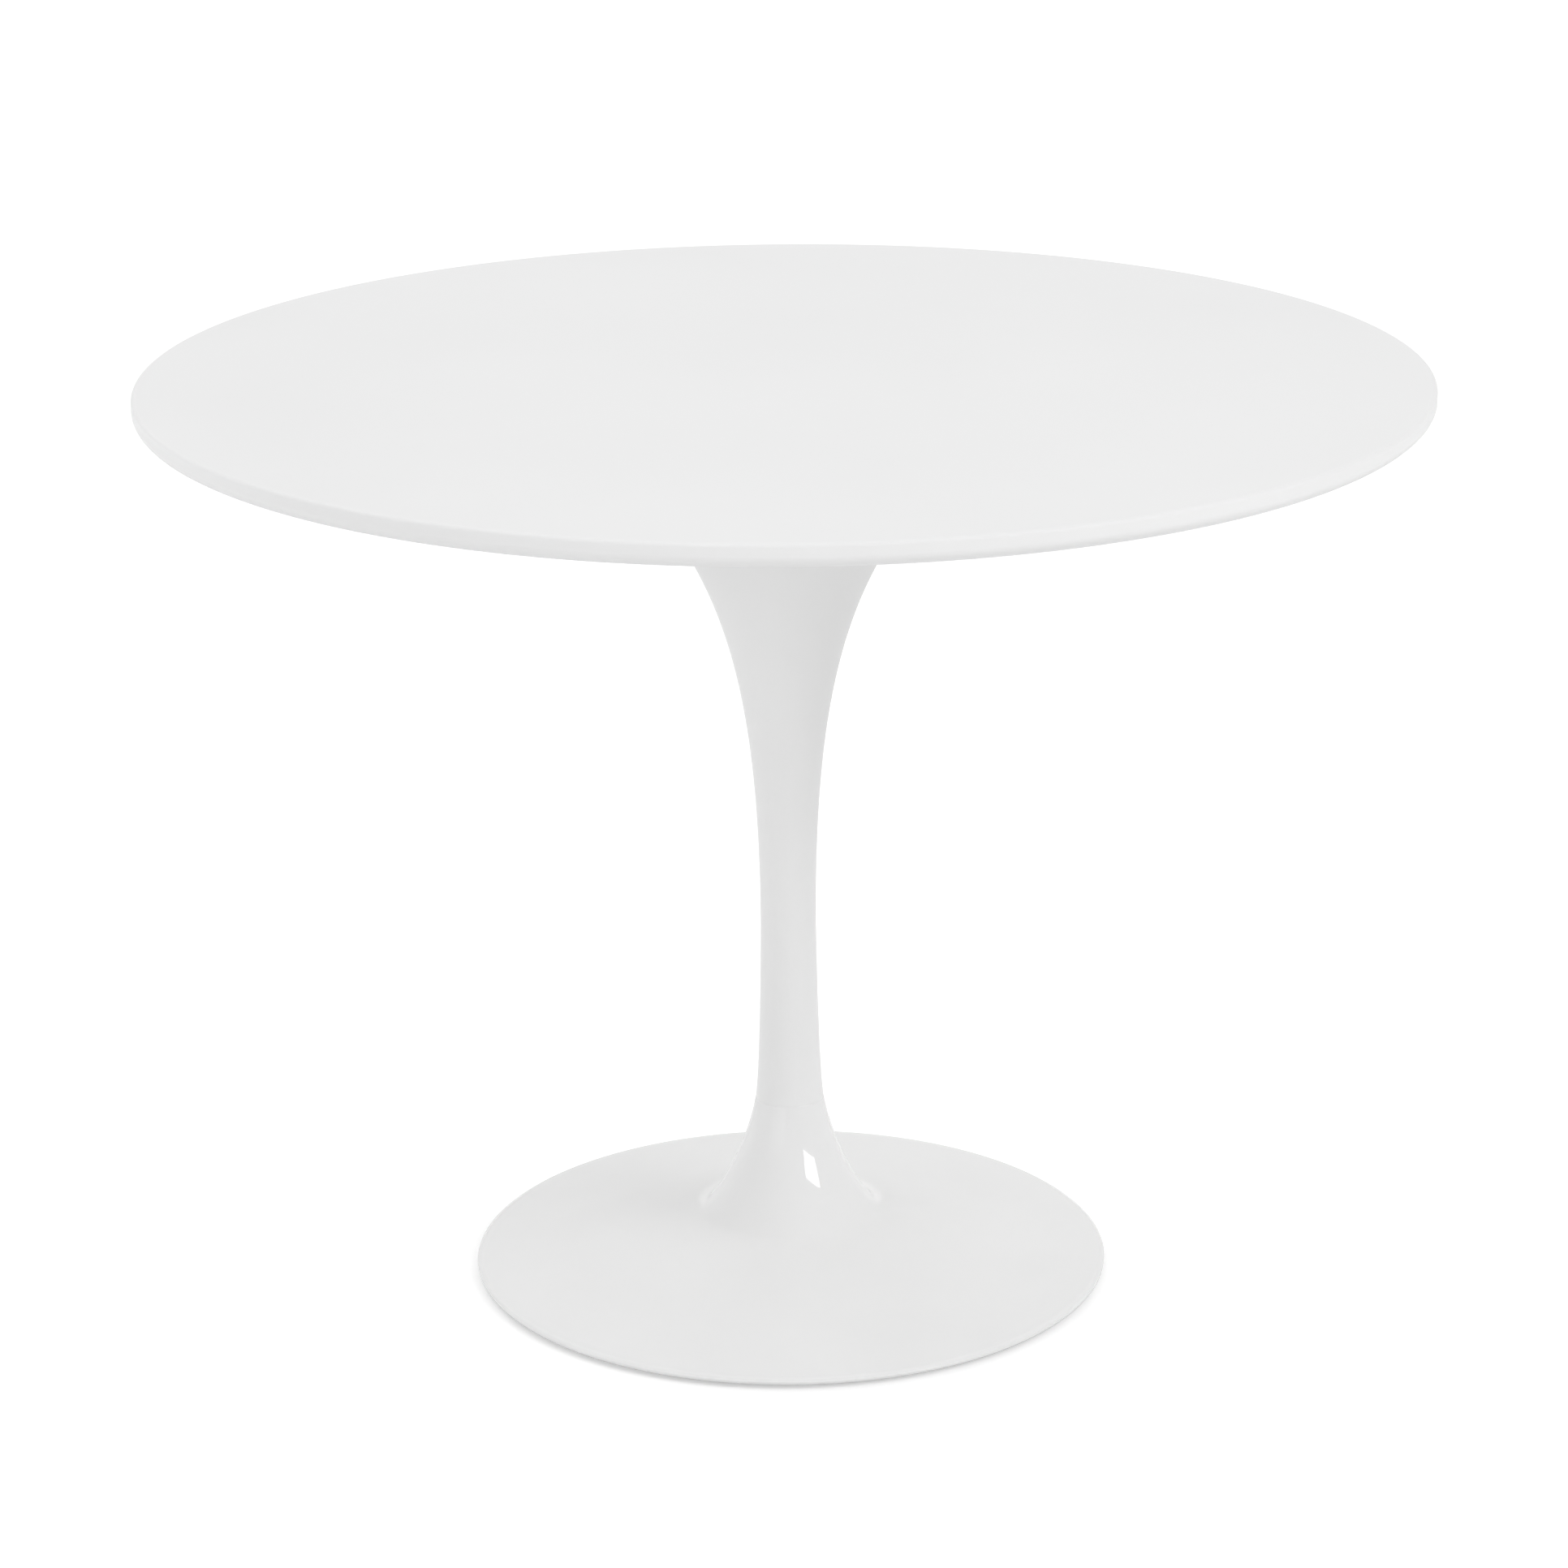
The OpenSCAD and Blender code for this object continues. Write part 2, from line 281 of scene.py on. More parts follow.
def machined_skin():
    """The skin of turned or plated metal: fine tool marks, and patches where it has dulled."""
    tree, given, out = new_group(
        "machined_skin",
        {"Mark Scale": 900, "Mark Strength": 0.15, "Patch Scale": 60,
         "Roughness Low": 0.25, "Roughness High": 0.45},
        {"Patch": "Float", "Roughness": "Float", "Normal": "Vector"},
    )
    place = add_node(tree, "ShaderNodeTexCoord").outputs["Object"]
    flat = add_node(tree, "ShaderNodeMapping", {"Vector": place})
    flat.inputs["Scale"].default_value = (0.1, 0.1, 1)
    marks = add_node(
        tree, "ShaderNodeTexNoise", {"Vector": flat.outputs["Vector"], "Scale": given["Mark Scale"]}
    )
    patch = add_node(
        tree, "ShaderNodeTexNoise", {"Vector": place, "Scale": given["Patch Scale"], "Detail": 6}
    )
    spread = add_node(tree, "ShaderNodeMapRange", {
        "Value": patch.outputs["Fac"], "From Min": 0.3, "From Max": 0.7,
        "To Min": given["Roughness Low"], "To Max": given["Roughness High"]})
    bump = add_node(tree, "ShaderNodeBump", {
        "Height": marks.outputs["Fac"], "Strength": given["Mark Strength"], "Distance": 0.1 * mm})
    tree.links.new(patch.outputs["Fac"], out["Patch"])
    tree.links.new(spread.outputs["Result"], out["Roughness"])
    tree.links.new(bump.outputs["Normal"], out["Normal"])
    return tree


machined_group = machined_skin()


def bare_metal(name, skin, dull, bright):
    """Bare or plated metal, with a skin of its own values and a colour between dulled and bright."""
    material, tree, shader = new_material(name, Metallic=1)
    metal = add_node(tree, "ShaderNodeGroup", node_tree=machined_group)
    for label, value in skin.items():
        metal.inputs[label].default_value = value
    colour = add_node(tree, "ShaderNodeValToRGB", {"Fac": metal.outputs["Patch"]})
    low, high = colour.color_ramp.elements
    low.position, low.color = 0.35, (*dull, 1)
    high.position, high.color = 0.6, (*bright, 1)
    tree.links.new(colour.outputs["Color"], shader.inputs["Base Color"])
    tree.links.new(metal.outputs["Roughness"], shader.inputs["Roughness"])
    tree.links.new(metal.outputs["Normal"], shader.inputs["Normal"])
    return material


turned_brass = bare_metal(
    "turned_brass",
    {"Mark Scale": 1500, "Mark Strength": 0.2, "Patch Scale": 120,
     "Roughness Low": 0.22, "Roughness High": 0.42},
    (0.5, 0.34, 0.13), (0.78, 0.58, 0.27),
)


def knurled(shape, radius, depth, teeth, bands):
    """Presses straight teeth into the bands of a turned shape, each band given by its two heights."""
    for vert in shape.verts:
        around = vert.co.xy.length
        inside = any(low < vert.co.z < high for low, high in bands)
        if inside and around > radius - depth / 2:
            angle = math.atan2(vert.co.y, vert.co.x)
            pressed = radius - depth * (math.cos(angle * teeth) > 0)
            vert.co.xy *= pressed / around
    return shape


chamfer = 0.5 * mm
bush_low, bush_high = insert_low.z, insert_high.z
groove_low, groove_high = bush_low + 5.5 * mm, bush_low + 7.5 * mm
# The rings of points on each half of the bush, from its end. The teeth run from the third to the fourth.
rings = [step * chamfer for step in (1, 2, 3, 9, 10)]
teeth_start, teeth_end = rings[2] - chamfer / 2, rings[3] + chamfer / 2
bush = turned(
    [point(insert_bore_r + chamfer, bush_low), point(insert_r - chamfer, bush_low)]
    + [point(insert_r, bush_low + ring) for ring in rings]
    + [point(insert_r - chamfer, groove_low), point(insert_r - chamfer, groove_high)]
    + [point(insert_r, bush_high - ring) for ring in rings[::-1]]
    + [point(insert_r - chamfer, bush_high), point(insert_bore_r + chamfer, bush_high)]
    + [point(insert_bore_r, bush_high - chamfer), point(insert_bore_r, bush_low + chamfer)],
    4 * knurl_teeth,
)
band_low = (bush_low + teeth_start, bush_low + teeth_end)
band_high = (bush_high - teeth_end, bush_high - teeth_start)
bush = knurled(bush, insert_r, knurl_depth, knurl_teeth, [band_low, band_high])
inserts = repeated(bush, screw_places)
finished(inserts, "knurled_inserts", "table", ["threaded_inserts"], [turned_brass])


# ----------------------------------------------------------------------------------------------------------
# Mounting plate: a disc of steel plate, cut out, drilled for eight screws and with its edges broken. With the
# hub and the gussets it is welded into one bracket, and then coated black.

plate_low, plate_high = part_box("mounting_plate")
plate_r = plate_high.x
plate_hole_r = 3.4 * mm


def soften(shape, size, angle=35, steps=2, ring=None):
    """Rounds the bmesh's sharp edges, as a file, a press tool or a mould does. With a ring, which is a
    point of the outline, it rounds only the edge that runs round the table's axis through that point."""
    sharp = [e for e in shape.edges if len(e.link_faces) == 2 and e.calc_face_angle() > math.radians(angle)]
    if ring:
        sharp = [
            e for e in sharp
            if all((point(v.co.xy.length, v.co.z) - ring).length < 0.01 * mm for v in e.verts)
        ]
    bmesh.ops.bevel(
        shape, geom=sharp, offset=size, offset_type="OFFSET", affect="EDGES", segments=steps, profile=0.5,
        material=-1, clamp_overlap=True,
    )
    return shape


black_coat = sprayed_coat(
    "black_coat",
    {"Peel Scale": 900, "Peel Strength": 0.3, "Nib Strength": 0.8, "Cloud Scale": 30,
     "Roughness Low": 0.42, "Roughness High": 0.6},
    (0.014, 0.014, 0.015), (0.03, 0.03, 0.032),
)

plate = cylinder(plate_r, plate_low.z, plate_high.z, 240)
drill = cylinder(plate_hole_r, plate_low.z - 1 * mm, plate_high.z + 1 * mm)
plate = soften(combined(plate, repeated(drill, screw_places), "DIFFERENCE"), 0.4 * mm)
finished(plate, "top_plate", "table", ["mounting_plate"], [black_coat])


# ----------------------------------------------------------------------------------------------------------
# Hub: a turned steel boss that the tie rod screws into. It is welded all round under the plate's middle.

hub_low, hub_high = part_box("threaded_hub")
hub_r, hub_bore_r = hub_high.x, 7.05 * mm
bead_r, bead_ripples, ripple_depth = 4 * mm, 40, 0.1


def bead(centre, radius, ripples, depth):
    """A ring of weld bead in the corner under the plate, with the ripples that the torch leaves. Their depth
    is a share of the bead's radius."""
    ring = turned([centre] + arc(centre, radius, radius, 0, -90, 8), 4 * ripples)
    for vert in ring.verts:
        flat = Vector((vert.co.x, vert.co.y, 0)).normalized() * centre.x
        corner = Vector((flat.x, flat.y, centre.z))
        wave = abs(math.cos(math.atan2(vert.co.y, vert.co.x) * ripples / 2))
        vert.co = corner + (vert.co - corner) * (1 - depth + depth * wave)
    return ring


hub = soften(
    turned([point(hub_bore_r, hub_low.z), point(hub_r, hub_low.z), point(hub_r, hub_high.z),
            point(hub_bore_r, hub_high.z)], 96),
    1 * mm,
)
# The bead bites into the hub, and stays just clear of the plate.
corner = point(hub_r - 0.5 * mm, hub_high.z - 0.01 * mm)
hub = combined(hub, bead(corner, bead_r, bead_ripples, ripple_depth), "UNION")
finished(hub, "threaded_hub_welded", "table", ["threaded_hub"], [black_coat])


# ----------------------------------------------------------------------------------------------------------
# Gussets: four triangles of steel plate, sawn with one corner cut off. They stand on edge between the hub and
# the plate, so that a hand that leans on the table's edge can't bend the plate.

gusset_thick, gusset_reach, gusset_toe, gusset_root = 5 * mm, 90 * mm, 5 * mm, 25 * mm
gusset_drop = plate_low.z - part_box("gusset_1")[0].z
gusset_start = hub_r + 0.05 * mm

for number, turn in enumerate(ring_of(4, 0), start=1):
    gusset = bmesh.new()
    side = [
        point(gusset_start, plate_low.z), point(gusset_reach, plate_low.z),
        point(gusset_reach, plate_low.z - gusset_toe), point(gusset_root, plate_low.z - gusset_drop),
        point(gusset_start, plate_low.z - gusset_drop),
    ]
    face = gusset.faces.new([gusset.verts.new(p + Vector((0, -gusset_thick / 2, 0))) for p in side])
    grown = bmesh.ops.extrude_face_region(gusset, geom=[face])
    moved = [v for v in grown["geom"] if isinstance(v, bmesh.types.BMVert)]
    bmesh.ops.translate(gusset, verts=moved, vec=(0, gusset_thick, 0))
    bmesh.ops.recalc_face_normals(gusset, faces=gusset.faces)
    soften(gusset, 0.5 * mm)
    bmesh.ops.transform(gusset, verts=gusset.verts, matrix=turn)
    node = f"gusset_{number}"
    finished(gusset, f"{node}_plate", "table", [node], [black_coat])


# ----------------------------------------------------------------------------------------------------------
# Screws and washers: eight zinc-plated hexagon screws with plain washers hold the plate up to the board.

head_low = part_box("plate_screws")[0].z
screw_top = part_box("plate_screws")[1].z
washer_low, washer_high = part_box("plate_washers")
screw_r, screw_pitch, screw_across = 3 * mm, 1 * mm, 10 * mm
washer_r, washer_bore_r = 6.2 * mm, 3.2 * mm

zinc_plate = bare_metal(
    "zinc_plate",
    {"Mark Scale": 1200, "Mark Strength": 0.12, "Patch Scale": 70,
     "Roughness Low": 0.24, "Roughness High": 0.4},
    (0.5, 0.5, 0.49), (0.68, 0.69, 0.71),
)


def threaded(shape, radius, pitch, low, high, steps=24):
    """The bar with a screw thread cut into it between two heights, as a die cuts it."""
    half = pitch / 2
    depth, past_bar = 1.1 * half, 0.1 * half
    half_root, half_mouth = 0.12 * half, 0.85 * half
    start = low - pitch
    groove = bmesh.new()
    section = [
        point(radius - depth, start - half_root), point(radius + past_bar, start - half_mouth),
        point(radius + past_bar, start + half_mouth), point(radius - depth, start + half_root),
    ]
    face = groove.faces.new([groove.verts.new(p) for p in section])
    rounds = (high - start) / pitch
    bmesh.ops.spin(
        groove, geom=[face], cent=(0, 0, 0), axis=(0, 0, 1), dvec=(0, 0, pitch / steps),
        angle=math.tau * rounds, steps=round(rounds * steps), use_merge=False,
    )
    bmesh.ops.recalc_face_normals(groove, faces=groove.faces)
    return combined(shape, groove, "DIFFERENCE")


def hexagon(across, low, high, chamfers):
    """A hexagon bar whose corners are turned off at the ends, as on a screw's head or a nut."""
    corner_r = across / 2 / math.cos(math.radians(30))
    bar = cylinder(corner_r, low, high, 6)
    round_r = across / 2 * 0.98
    cut = (corner_r - round_r) * math.tan(math.radians(30))
    edge = corner_r + 0.01 * mm
    bottom = [point(0, low), point(round_r, low), point(edge, low + cut)]
    top = [point(edge, high - cut), point(round_r, high), point(0, high)]
    if "low" not in chamfers:
        bottom = [point(0, low), point(edge, low)]
    if "high" not in chamfers:
        top = [point(edge, high), point(0, high)]
    return combined(bar, turned(bottom + top, 96), "INTERSECT")


tip, into_head = 0.6 * mm, 0.5 * mm
shank = turned(
    [point(0, washer_low.z - into_head), point(screw_r, washer_low.z - into_head),
     point(screw_r, screw_top - tip), point(screw_r - tip, screw_top), point(0, screw_top)],
    32,
)
shank = threaded(shank, screw_r, screw_pitch, washer_high.z, screw_top)
screw = combined(hexagon(screw_across, head_low, washer_low.z, ["low"]), shank, "UNION")
screws = repeated(screw, screw_places)
finished(screws, "hexagon_screws", "table", ["plate_screws"], [zinc_plate])

washer = soften(
    turned([point(washer_bore_r, washer_low.z), point(washer_r, washer_low.z), point(washer_r, washer_high.z),
            point(washer_bore_r, washer_high.z)], 64),
    0.25 * mm,
)
washers = repeated(washer, screw_places)
finished(washers, "plain_washers", "table", ["plate_washers"], [zinc_plate])


# ----------------------------------------------------------------------------------------------------------
# Tie rod: a long bar of zinc-plated steel with a die-cut thread at each end. Its top screws into the hub, and
# it hangs down through the column and the foot's web.

rod_low, rod_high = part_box("tie_rod")
rod_r, rod_pitch, rod_chamfer = 7 * mm, 2 * mm, 1 * mm
lower_thread, upper_thread = 60 * mm, 38 * mm

rod = turned(
    [point(0, rod_low.z), point(rod_r - rod_chamfer, rod_low.z), point(rod_r, rod_low.z + rod_chamfer),
     point(rod_r, rod_high.z - rod_chamfer), point(rod_r - rod_chamfer, rod_high.z), point(0, rod_high.z)],
    48,
)
rod = threaded(rod, rod_r, rod_pitch, rod_low.z, rod_low.z + lower_thread)
rod = threaded(rod, rod_r, rod_pitch, rod_high.z - upper_thread, rod_high.z + rod_pitch)
finished(rod, "threaded_tie_rod", "table", ["tie_rod"], [zinc_plate])


# ----------------------------------------------------------------------------------------------------------
# Column: a trumpet spun from thin metal. Its foot end is bored to slip over the foot's spigot, and its head
# is turned to a lip that closes round the plate. It is powder coated white, and is less shiny than the foot.

column_low, column_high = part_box("column")
foot_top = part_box("foot")[1].z
neck_r, waist_r, waist_z = 27.4 * mm, 22.1 * mm, 292 * mm
column_wall, seat_bore_r, recess_r = 4 * mm, plate_r - 10 * mm, plate_r + 1 * mm
socket_r, socket_top = 21.5 * mm, foot_top + 4 * mm
seam_round = 0.12 * mm


def curve(start, start_handle, end_handle, end, steps):
    """The points of a cubic curve between two points of an outline."""
    return interpolate_bezier(start, start_handle, end_handle, end, steps + 1)


def inset(path, wall):
    """The path moved to its left by a wall's thickness."""
    before, after = [path[0]] + path[:-1], path[1:] + [path[-1]]
    ways = [(b - a).normalized() for a, b in zip(before, after)]
    return [p + wall * Vector((-way.z, 0, way.x)) for p, way in zip(path, ways)]


powder_coat = sprayed_coat(
    "powder_coat",
    {"Peel Scale": 260, "Peel Strength": 0.1, "Nib Strength": 0.12, "Cloud Scale": 7,
     "Roughness Low": 0.3, "Roughness High": 0.38},
    (0.77, 0.77, 0.77), (0.785, 0.785, 0.785), IOR=1.48,
)

seam_lean = point(-1, 6) * mm
neck = point(neck_r, column_low.z)
waist = point(waist_r, waist_z)
head, head_lean = point(column_high.x, column_high.z), point(114, 102) * mm
column_outline = (
    curve(neck, neck + 3.7 * seam_lean, waist - point(0, 12) * mm, waist, 36)
    + curve(waist, waist + point(0, 246) * mm, head - head_lean, head, 110)[1:]
)
column_inner = [p for p in inset(column_outline, column_wall) if p.z > socket_top and p.x < seat_bore_r][::3]
column = turned(
    [point(socket_r, column_low.z)]
    + column_outline
    + [point(recess_r, column_high.z), point(recess_r, plate_low.z), point(seat_bore_r, plate_low.z),
       point(seat_bore_r, column_inner[-1].z)]
    + column_inner[::-1]
    + [point(column_inner[0].x, socket_top), point(socket_r, socket_top)]
)
soften(column, seam_round, ring=neck)
soften(column, 0.4 * mm, angle=45)
finished(column, "trumpet_column", "table", ["column"], [powder_coat])


# ----------------------------------------------------------------------------------------------------------
# Foot: one iron casting, a flat disc that flares up into a neck. The outside is filled, sanded and sprayed
# with gloss enamel. Underneath it is left as cast, with five ribs, five bosses for the glides, and a web
# across the neck that the tie rod pulls on.

foot_low, foot_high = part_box("foot")
foot_r = foot_high.x
rim_z = foot_low.z
foot_wall, neck_bore_z = 6 * mm, 128 * mm
spigot_r, spigot_bore_r, spigot_chamfer = 21.4 * mm, 15 * mm, 1 * mm
web_low, web_high = 64 * mm, 72 * mm
rod_hole_r = 7.5 * mm
pads = sorted(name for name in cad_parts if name.startswith("glide_pad"))
pad_middles = [(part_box(name)[0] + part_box(name)[1]) / 2 for name in pads]
boss_r, boss_draft, boss_low, boss_high = 11 * mm, 1.5 * mm, rim_z + 0.3 * mm, rim_z + 9.5 * mm
stud_hole_r, stud_hole_top = 4.05 * mm, rim_z + 9.2 * mm
rib_thick, rib_low, rib_start, rib_end = 5 * mm, rim_z + 1 * mm, 42 * mm, foot_r - 9.5 * mm

gloss_enamel = sprayed_coat(
    "gloss_enamel",
    {"Peel Scale": 90, "Peel Strength": 0.015, "Nib Strength": 0.05, "Cloud Scale": 9,
     "Roughness Low": 0.035, "Roughness High": 0.06},
    (0.77, 0.77, 0.77), (0.785, 0.785, 0.785), IOR=1.5,
)


def moulded_grain():
    """The grain that a mould leaves on what is cast or pressed in it, with patches of uneven colour."""
    tree, given, out = new_group(
        "moulded_grain",
        {"Grain Scale": 700, "Grain Strength": 0.5, "Patch Scale": 25,
         "Roughness Low": 0.7, "Roughness High": 0.95},
        {"Patch": "Float", "Roughness": "Float", "Normal": "Vector"},
    )
    place = add_node(tree, "ShaderNodeTexCoord").outputs["Object"]
    grain = add_node(
        tree, "ShaderNodeTexNoise", {"Vector": place, "Scale": given["Grain Scale"], "Detail": 4}
    )
    patch = add_node(
        tree, "ShaderNodeTexNoise", {"Vector": place, "Scale": given["Patch Scale"], "Detail": 6}
    )
    spread = add_node(tree, "ShaderNodeMapRange", {
        "Value": grain.outputs["Fac"], "To Min": given["Roughness Low"], "To Max": given["Roughness High"]})
    bump = add_node(tree, "ShaderNodeBump", {
        "Height": grain.outputs["Fac"], "Strength": given["Grain Strength"], "Distance": 0.5 * mm})
    tree.links.new(patch.outputs["Fac"], out["Patch"])
    tree.links.new(spread.outputs["Result"], out["Roughness"])
    tree.links.new(bump.outputs["Normal"], out["Normal"])
    return tree


grain_group = moulded_grain()


def moulded(name, grain, dark, light):
    """A cast or moulded material, with a grain of its own values and a colour between two shades."""
    material, tree, shader = new_material(name)
    mould = add_node(tree, "ShaderNodeGroup", node_tree=grain_group)
    for label, value in grain.items():
        mould.inputs[label].default_value = value
    colour = add_node(tree, "ShaderNodeValToRGB", {"Fac": mould.outputs["Patch"]})
    low, high = colour.color_ramp.elements
    low.position, low.color = 0.35, (*dark, 1)
    high.position, high.color = 0.7, (*light, 1)
    tree.links.new(colour.outputs["Color"], shader.inputs["Base Color"])
    tree.links.new(mould.outputs["Roughness"], shader.inputs["Roughness"])
    tree.links.new(mould.outputs["Normal"], shader.inputs["Normal"])
    return material


cast_primer = moulded(
    "cast_primer",
    {"Grain Scale": 700, "Grain Strength": 0.5, "Patch Scale": 25,
     "Roughness Low": 0.7, "Roughness High": 0.95},
    (0.34, 0.34, 0.33), (0.5, 0.5, 0.49),
)

flare, flare_lean = point(70, 46) * mm, point(-1, 1) * mm
shoulder = point(foot_r - 5.5 * mm, rim_z + 6 * mm)
rim_outline = (
    [point(foot_r - 8.5 * mm, rim_z), point(foot_r - 3 * mm, rim_z)]
    + arc(point(foot_r - 3 * mm, rim_z + 3 * mm), 3 * mm, 3 * mm, -75, 15, 8)
    + arc(point(foot_r - 5.3 * mm, rim_z + 3.2 * mm), 4.7 * mm, 2.78 * mm, 20, 80, 8)
)
foot_outline = (
    curve(shoulder, point(140, 25) * mm, flare - 16 * flare_lean, flare, 80)
    + curve(flare, flare + 10 * flare_lean, neck - 7.5 * seam_lean, neck, 60)[1:]
)
foot_inner = inset(foot_outline, foot_wall)
below_web = [p for p in foot_inner if p.z < web_low - 2 * mm and p.x < foot_r - 11 * mm][::2]
above_web = [p for p in foot_inner if web_high + 2 * mm < p.z < neck_bore_z][::2]
web_r = (below_web[-1].x + above_web[0].x) / 2
casting = turned(
    rim_outline
    + foot_outline
    + [point(spigot_r, neck.z), point(spigot_r, foot_high.z - spigot_chamfer),
       point(spigot_r - spigot_chamfer, foot_high.z), point(spigot_bore_r, foot_high.z),
       point(spigot_bore_r, neck_bore_z)]
    + above_web[::-1]
    + [point(web_r, web_high), point(rod_hole_r, web_high), point(rod_hole_r, web_low), point(web_r, web_low)]
    + below_web[::-1],
    320,
)
soften(casting, seam_round, ring=neck)
soften(casting, 0.4 * mm, angle=50)

wall_middle = [p for p in inset(foot_outline, foot_wall / 2) if p.z < (web_low + web_high) / 2]
rib_crest = [p for p in wall_middle if rib_start < p.x < rib_end][::3]
for middle in pad_middles:
    to_glide = Matrix.Rotation(math.atan2(middle.y, middle.x), 4, "Z")
    rib = bmesh.new()
    side = [point(rib_start, rib_low), point(rib_end, rib_low)] + rib_crest
    side.append(point(rib_start, rib_crest[-1].z))
    face = rib.faces.new([rib.verts.new(p + Vector((0, -rib_thick / 2, 0))) for p in side])
    grown = bmesh.ops.extrude_face_region(rib, geom=[face])
    moved = [v for v in grown["geom"] if isinstance(v, bmesh.types.BMVert)]
    bmesh.ops.translate(rib, verts=moved, vec=(0, rib_thick, 0))
    bmesh.ops.transform(rib, verts=rib.verts, matrix=to_glide)
    bmesh.ops.recalc_face_normals(rib, faces=rib.faces)
    casting = combined(casting, soften(rib, 1 * mm), "UNION")
    boss = turned(
        [point(0, boss_low), point(boss_r, boss_low),
         point(boss_r + boss_draft, boss_high), point(0, boss_high)],
        64,
    )
    hole = cylinder(stud_hole_r, 0, stud_hole_top)
    for shape, operation in ((soften(boss, 0.5 * mm), "UNION"), (hole, "DIFFERENCE")):
        bmesh.ops.translate(shape, verts=shape.verts, vec=(middle.x, middle.y, 0))
        casting = combined(casting, shape, operation)

outside = foot_outline + rim_outline
for face in casting.faces:
    centre = face.calc_center_median()
    flat = point(centre.xy.length, centre.z)
    nearest = min((p - flat).length for p in outside)
    face.material_index = int(nearest > foot_wall / 2)
enamelled_foot = finished(
    casting, "foot_casting", "table", ["foot"], [gloss_enamel, cast_primer]
)


# ----------------------------------------------------------------------------------------------------------
# Washers and nut on the tie rod: a thick plain washer, a split spring washer and a hexagon nut, all zinc
# plated. The nut is turned up against the foot's web, and pulls foot, column and plate together.

tie_low, tie_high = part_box("tie_washer")
tie_r = tie_high.x
tie_washer = soften(
    turned([point(rod_hole_r, tie_low.z), point(tie_r, tie_low.z), point(tie_r, tie_high.z),
            point(rod_hole_r, tie_high.z)], 96),
    0.5 * mm,
)
finished(tie_washer, "thick_washer", "table", ["tie_washer"], [zinc_plate])

spring_low, spring_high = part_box("spring_washer")
spring_bore_r, spring_r, spring_slit, spring_thick = 7.3 * mm, 12 * mm, 2 * mm, 2.7 * mm
slit_angle = spring_slit / (spring_bore_r / 2 + spring_r / 2)
spring_rise = spring_high.z - spring_low.z - spring_thick
coil_steps = 72
coil = bmesh.new()
section = [
    point(spring_bore_r, spring_low.z), point(spring_r, spring_low.z),
    point(spring_r, spring_low.z + spring_thick), point(spring_bore_r, spring_low.z + spring_thick),
]
face = coil.faces.new([coil.verts.new(p) for p in section])
bmesh.ops.rotate(coil, verts=coil.verts, cent=(0, 0, 0), matrix=Matrix.Rotation(slit_angle / 2, 3, "Z"))
bmesh.ops.spin(
    coil, geom=[face], cent=(0, 0, 0), axis=(0, 0, 1), dvec=(0, 0, spring_rise / coil_steps),
    angle=math.tau - slit_angle, steps=coil_steps, use_merge=False,
)
bmesh.ops.recalc_face_normals(coil, faces=coil.faces)
soften(coil, 0.3 * mm)
finished(coil, "split_washer", "table", ["spring_washer"], [zinc_plate])

nut_low, nut_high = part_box("tie_nut")
nut_across, nut_bore_r, sink_w, sink_h = 22 * mm, 7.05 * mm, 2 * mm, 1 * mm
countersink = turned(
    [point(0, nut_low.z - sink_h), point(nut_bore_r + sink_w, nut_low.z - sink_h),
     point(nut_bore_r, nut_low.z + sink_h), point(nut_bore_r, nut_high.z - sink_h),
     point(nut_bore_r + sink_w, nut_high.z + sink_h), point(0, nut_high.z + sink_h)],
    48,
)
nut = combined(hexagon(nut_across, nut_low.z, nut_high.z, ["low", "high"]), countersink, "DIFFERENCE")
finished(nut, "hexagon_nut", "table", ["tie_nut"], [zinc_plate])


# ----------------------------------------------------------------------------------------------------------
# Glides: five levelling feet. Each is a zinc-plated stud that screws into its boss, with a nylon pad moulded
# round the stud's flange. The pad's rim is fluted, so that it can be turned by hand.

stud_r, stud_tip, stud_pitch, flange_r, flange_edge = 4 * mm, 1 * mm, 1.25 * mm, 7 * mm, 0.2 * mm
pad_r, pad_edge, pad_gap, pad_flutes, flute_depth = 12 * mm, 0.6 * mm, 0.05 * mm, 24, 0.5 * mm
# The sole is a ring that stands on the floor. Inside it the pad is dished.
sole_r, dish_r, dish_h = pad_r - 2 * pad_edge, pad_r - 4.5 * mm, 0.4 * mm

pad_nylon = moulded(
    "pad_nylon",
    {"Grain Scale": 1400, "Grain Strength": 0.15, "Patch Scale": 90,
     "Roughness Low": 0.38, "Roughness High": 0.58},
    (0.3, 0.3, 0.29), (0.42, 0.42, 0.41),
)

